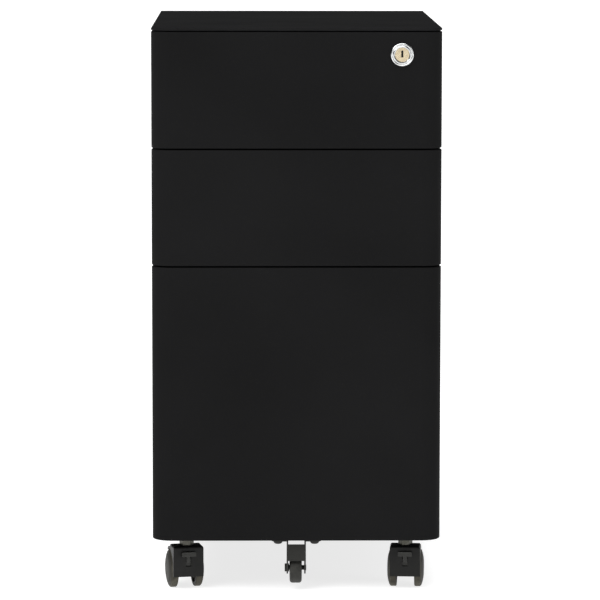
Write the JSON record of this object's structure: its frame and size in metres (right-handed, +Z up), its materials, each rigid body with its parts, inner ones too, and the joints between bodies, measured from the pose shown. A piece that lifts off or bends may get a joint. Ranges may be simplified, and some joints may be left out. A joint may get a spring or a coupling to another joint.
{
  "type": "rolling pedestal cabinet",
  "caption": "Slim steel under-desk pedestal with box drawers over a file drawer, a cam lock, finger grooves down the sides, twin-wheel casters and an anti-tip wheel.",
  "frame": {"origin": "on the floor, under the middle of the cabinet", "axes": "+X to the right seen from the front, +Y from the drawer fronts to the back, +Z up"},
  "size_m": [0.3, 0.4528, 0.59],
  "materials": {
    "carcass_paint": "fine-textured charcoal powder coat",
    "front_paint": "fine-textured charcoal powder coat",
    "bracket_paint": "black paint, semi-matt",
    "zinc_steel": "zinc-plated",
    "dark_steel": "dull, blackened",
    "lock_chrome": "polished",
    "lock_brass": "lightly worn",
    "hood_plastic": "moulded, slightly rubbed",
    "pedal_plastic": "moulded, rubbed edges",
    "wheel_plastic": "moulded nylon, scuffed",
    "tip_wheel_plastic": "moulded, worn tread"
  },
  "bodies": {
    "carcass": {"top_panel": "carcass_paint", "left_side_panel": "carcass_paint", "right_side_panel": "carcass_paint", "back_panel": "carcass_paint", "bottom_panel": "carcass_paint", "slide_posts": "zinc_steel", "box_slide_outer_members": "zinc_steel", "file_slide_outer_members": "zinc_steel", "caster_stems": "dark_steel", "caster_nuts": "zinc_steel", "caster_backing_plates": "zinc_steel", "lock_bar_guides": "zinc_steel"},
    "top_drawer": {"top_drawer_front": "front_paint", "top_drawer_box": "front_paint", "top_drawer_rivets": "zinc_steel", "top_slide_inner_members": "zinc_steel", "lock_housing": "lock_chrome", "lock_nut": "zinc_steel"},
    "top_ball_cages": {"top_slide_ball_cages": "zinc_steel"},
    "middle_drawer": {"middle_drawer_front": "front_paint", "middle_drawer_box": "front_paint", "middle_drawer_rivets": "zinc_steel", "middle_slide_inner_members": "zinc_steel"},
    "middle_ball_cages": {"middle_slide_ball_cages": "zinc_steel"},
    "bottom_drawer": {"bottom_drawer_front": "front_paint", "bottom_drawer_box": "front_paint", "bottom_drawer_rivets": "zinc_steel", "file_slide_inner_members": "zinc_steel", "file_hanger_bars": "zinc_steel", "anti_tip_bracket": "bracket_paint", "anti_tip_screws": "bracket_paint", "anti_tip_nuts": "bracket_paint", "anti_tip_axle": "bracket_paint"},
    "file_middle_members": {"file_slide_middle_members": "zinc_steel"},
    "file_outer_ball_cages": {"file_slide_outer_ball_cages": "zinc_steel"},
    "file_inner_ball_cages": {"file_slide_inner_ball_cages": "zinc_steel"},
    "tip_wheel": {"anti_tip_wheel": "tip_wheel_plastic"},
    "lock_core": {"lock_plug": "lock_brass", "lock_cam": "zinc_steel", "lock_cam_screw": "zinc_steel"},
    "lock_bar": {"lock_bar": "zinc_steel"},
    "caster_front_left": {"caster_front_left_hood": "hood_plastic", "caster_front_left_axle": "zinc_steel"},
    "caster_front_left_left_wheel": {"caster_front_left_wheel_left": "wheel_plastic"},
    "caster_front_left_right_wheel": {"caster_front_left_wheel_right": "wheel_plastic"},
    "caster_front_left_brake": {"caster_front_left_brake_pedal": "pedal_plastic"},
    "caster_front_right": {"caster_front_right_hood": "hood_plastic", "caster_front_right_axle": "zinc_steel"},
    "caster_front_right_left_wheel": {"caster_front_right_wheel_left": "wheel_plastic"},
    "caster_front_right_right_wheel": {"caster_front_right_wheel_right": "wheel_plastic"},
    "caster_front_right_brake": {"caster_front_right_brake_pedal": "pedal_plastic"},
    "caster_rear_left": {"caster_rear_left_hood": "hood_plastic", "caster_rear_left_axle": "zinc_steel"},
    "caster_rear_left_left_wheel": {"caster_rear_left_wheel_left": "wheel_plastic"},
    "caster_rear_left_right_wheel": {"caster_rear_left_wheel_right": "wheel_plastic"},
    "caster_rear_right": {"caster_rear_right_hood": "hood_plastic", "caster_rear_right_axle": "zinc_steel"},
    "caster_rear_right_left_wheel": {"caster_rear_right_wheel_left": "wheel_plastic"},
    "caster_rear_right_right_wheel": {"caster_rear_right_wheel_right": "wheel_plastic"}
  },
  "joints": [
    {"name": "top_drawer_slide", "type": "slide", "parent": "carcass", "child": "top_drawer", "axis": [0, -1, 0], "range_m": [0, 0.26]},
    {"name": "top_cage_slide", "type": "slide", "parent": "carcass", "child": "top_ball_cages", "axis": [0, -1, 0], "range_m": [0, 0.13]},
    {"name": "middle_drawer_slide", "type": "slide", "parent": "carcass", "child": "middle_drawer", "axis": [0, -1, 0], "range_m": [0, 0.26]},
    {"name": "middle_cage_slide", "type": "slide", "parent": "carcass", "child": "middle_ball_cages", "axis": [0, -1, 0], "range_m": [0, 0.13]},
    {"name": "file_drawer_slide", "type": "slide", "parent": "carcass", "child": "bottom_drawer", "axis": [0, -1, 0], "range_m": [0, 0.35]},
    {"name": "file_middle_slide", "type": "slide", "parent": "carcass", "child": "file_middle_members", "axis": [0, -1, 0], "range_m": [0, 0.175]},
    {"name": "file_outer_cage_slide", "type": "slide", "parent": "carcass", "child": "file_outer_ball_cages", "axis": [0, -1, 0], "range_m": [0, 0.0875]},
    {"name": "file_inner_cage_slide", "type": "slide", "parent": "carcass", "child": "file_inner_ball_cages", "axis": [0, -1, 0], "range_m": [0, 0.2625]},
    {"name": "tip_wheel_spin", "type": "hinge", "parent": "bottom_drawer", "child": "tip_wheel", "pos_m": [-0.0005, -0.195, 0.0236], "axis": [1, 0, 0], "continuous": true},
    {"name": "lock_turn", "type": "hinge", "parent": "top_drawer", "child": "lock_core", "pos_m": [0.108, -0.215, 0.5633], "axis": [0, -1, 0], "range_deg": [0, 90]},
    {"name": "lock_bar_lift", "type": "slide", "parent": "carcass", "child": "lock_bar", "axis": [0, 0, 1], "range_m": [0, 0.01131]},
    {"name": "caster_front_left_swivel", "type": "hinge", "parent": "carcass", "child": "caster_front_left", "pos_m": [-0.115, -0.188, 0.04], "axis": [0, 0, 1], "continuous": true},
    {"name": "caster_front_left_left_roll", "type": "hinge", "parent": "caster_front_left", "child": "caster_front_left_left_wheel", "pos_m": [-0.11759, -0.17526, 0.02], "axis": [0.9799, 0.1994, 0], "continuous": true},
    {"name": "caster_front_left_right_roll", "type": "hinge", "parent": "caster_front_left", "child": "caster_front_left_right_wheel", "pos_m": [-0.11759, -0.17526, 0.02], "axis": [0.9799, 0.1994, 0], "continuous": true},
    {"name": "caster_front_left_brake_tip", "type": "hinge", "parent": "caster_front_left", "child": "caster_front_left_brake", "pos_m": [-0.11332, -0.19623, 0.032], "axis": [0.9799, 0.1994, 0], "range_deg": [0, 15]},
    {"name": "caster_front_right_swivel", "type": "hinge", "parent": "carcass", "child": "caster_front_right", "pos_m": [0.115, -0.188, 0.04], "axis": [0, 0, 1], "continuous": true},
    {"name": "caster_front_right_left_roll", "type": "hinge", "parent": "caster_front_right", "child": "caster_front_right_left_wheel", "pos_m": [0.11602, -0.17504, 0.02], "axis": [0.9969, -0.0785, 0], "continuous": true},
    {"name": "caster_front_right_right_roll", "type": "hinge", "parent": "caster_front_right", "child": "caster_front_right_right_wheel", "pos_m": [0.11602, -0.17504, 0.02], "axis": [0.9969, -0.0785, 0], "continuous": true},
    {"name": "caster_front_right_brake_tip", "type": "hinge", "parent": "caster_front_right", "child": "caster_front_right_brake", "pos_m": [0.11434, -0.19637, 0.032], "axis": [0.9969, -0.0785, 0], "range_deg": [0, 15]},
    {"name": "caster_rear_left_swivel", "type": "hinge", "parent": "carcass", "child": "caster_rear_left", "pos_m": [-0.115, 0.188, 0.04], "axis": [0, 0, 1], "continuous": true},
    {"name": "caster_rear_left_left_roll", "type": "hinge", "parent": "caster_rear_left", "child": "caster_rear_left_left_wheel", "pos_m": [-0.11185, 0.20061, 0.02], "axis": [0.9703, -0.2419, 0], "continuous": true},
    {"name": "caster_rear_left_right_roll", "type": "hinge", "parent": "caster_rear_left", "child": "caster_rear_left_right_wheel", "pos_m": [-0.11185, 0.20061, 0.02], "axis": [0.9703, -0.2419, 0], "continuous": true},
    {"name": "caster_rear_right_swivel", "type": "hinge", "parent": "carcass", "child": "caster_rear_right", "pos_m": [0.115, 0.188, 0.04], "axis": [0, 0, 1], "continuous": true},
    {"name": "caster_rear_right_left_roll", "type": "hinge", "parent": "caster_rear_right", "child": "caster_rear_right_left_wheel", "pos_m": [0.11297, 0.20084, 0.02], "axis": [0.9877, 0.1564, 0], "continuous": true},
    {"name": "caster_rear_right_right_roll", "type": "hinge", "parent": "caster_rear_right", "child": "caster_rear_right_right_wheel", "pos_m": [0.11297, 0.20084, 0.02], "axis": [0.9877, 0.1564, 0], "continuous": true}
  ],
  "couplings": [
    {"joint": "top_cage_slide", "follows": "top_drawer_slide", "ratio": 0.5},
    {"joint": "middle_cage_slide", "follows": "middle_drawer_slide", "ratio": 0.5},
    {"joint": "file_middle_slide", "follows": "file_drawer_slide", "ratio": 0.5},
    {"joint": "file_outer_cage_slide", "follows": "file_drawer_slide", "ratio": 0.25},
    {"joint": "file_inner_cage_slide", "follows": "file_drawer_slide", "ratio": 0.75},
    {"joint": "lock_turn", "follows": "lock_bar_lift", "rad_per_m": 138.84}
  ]
}
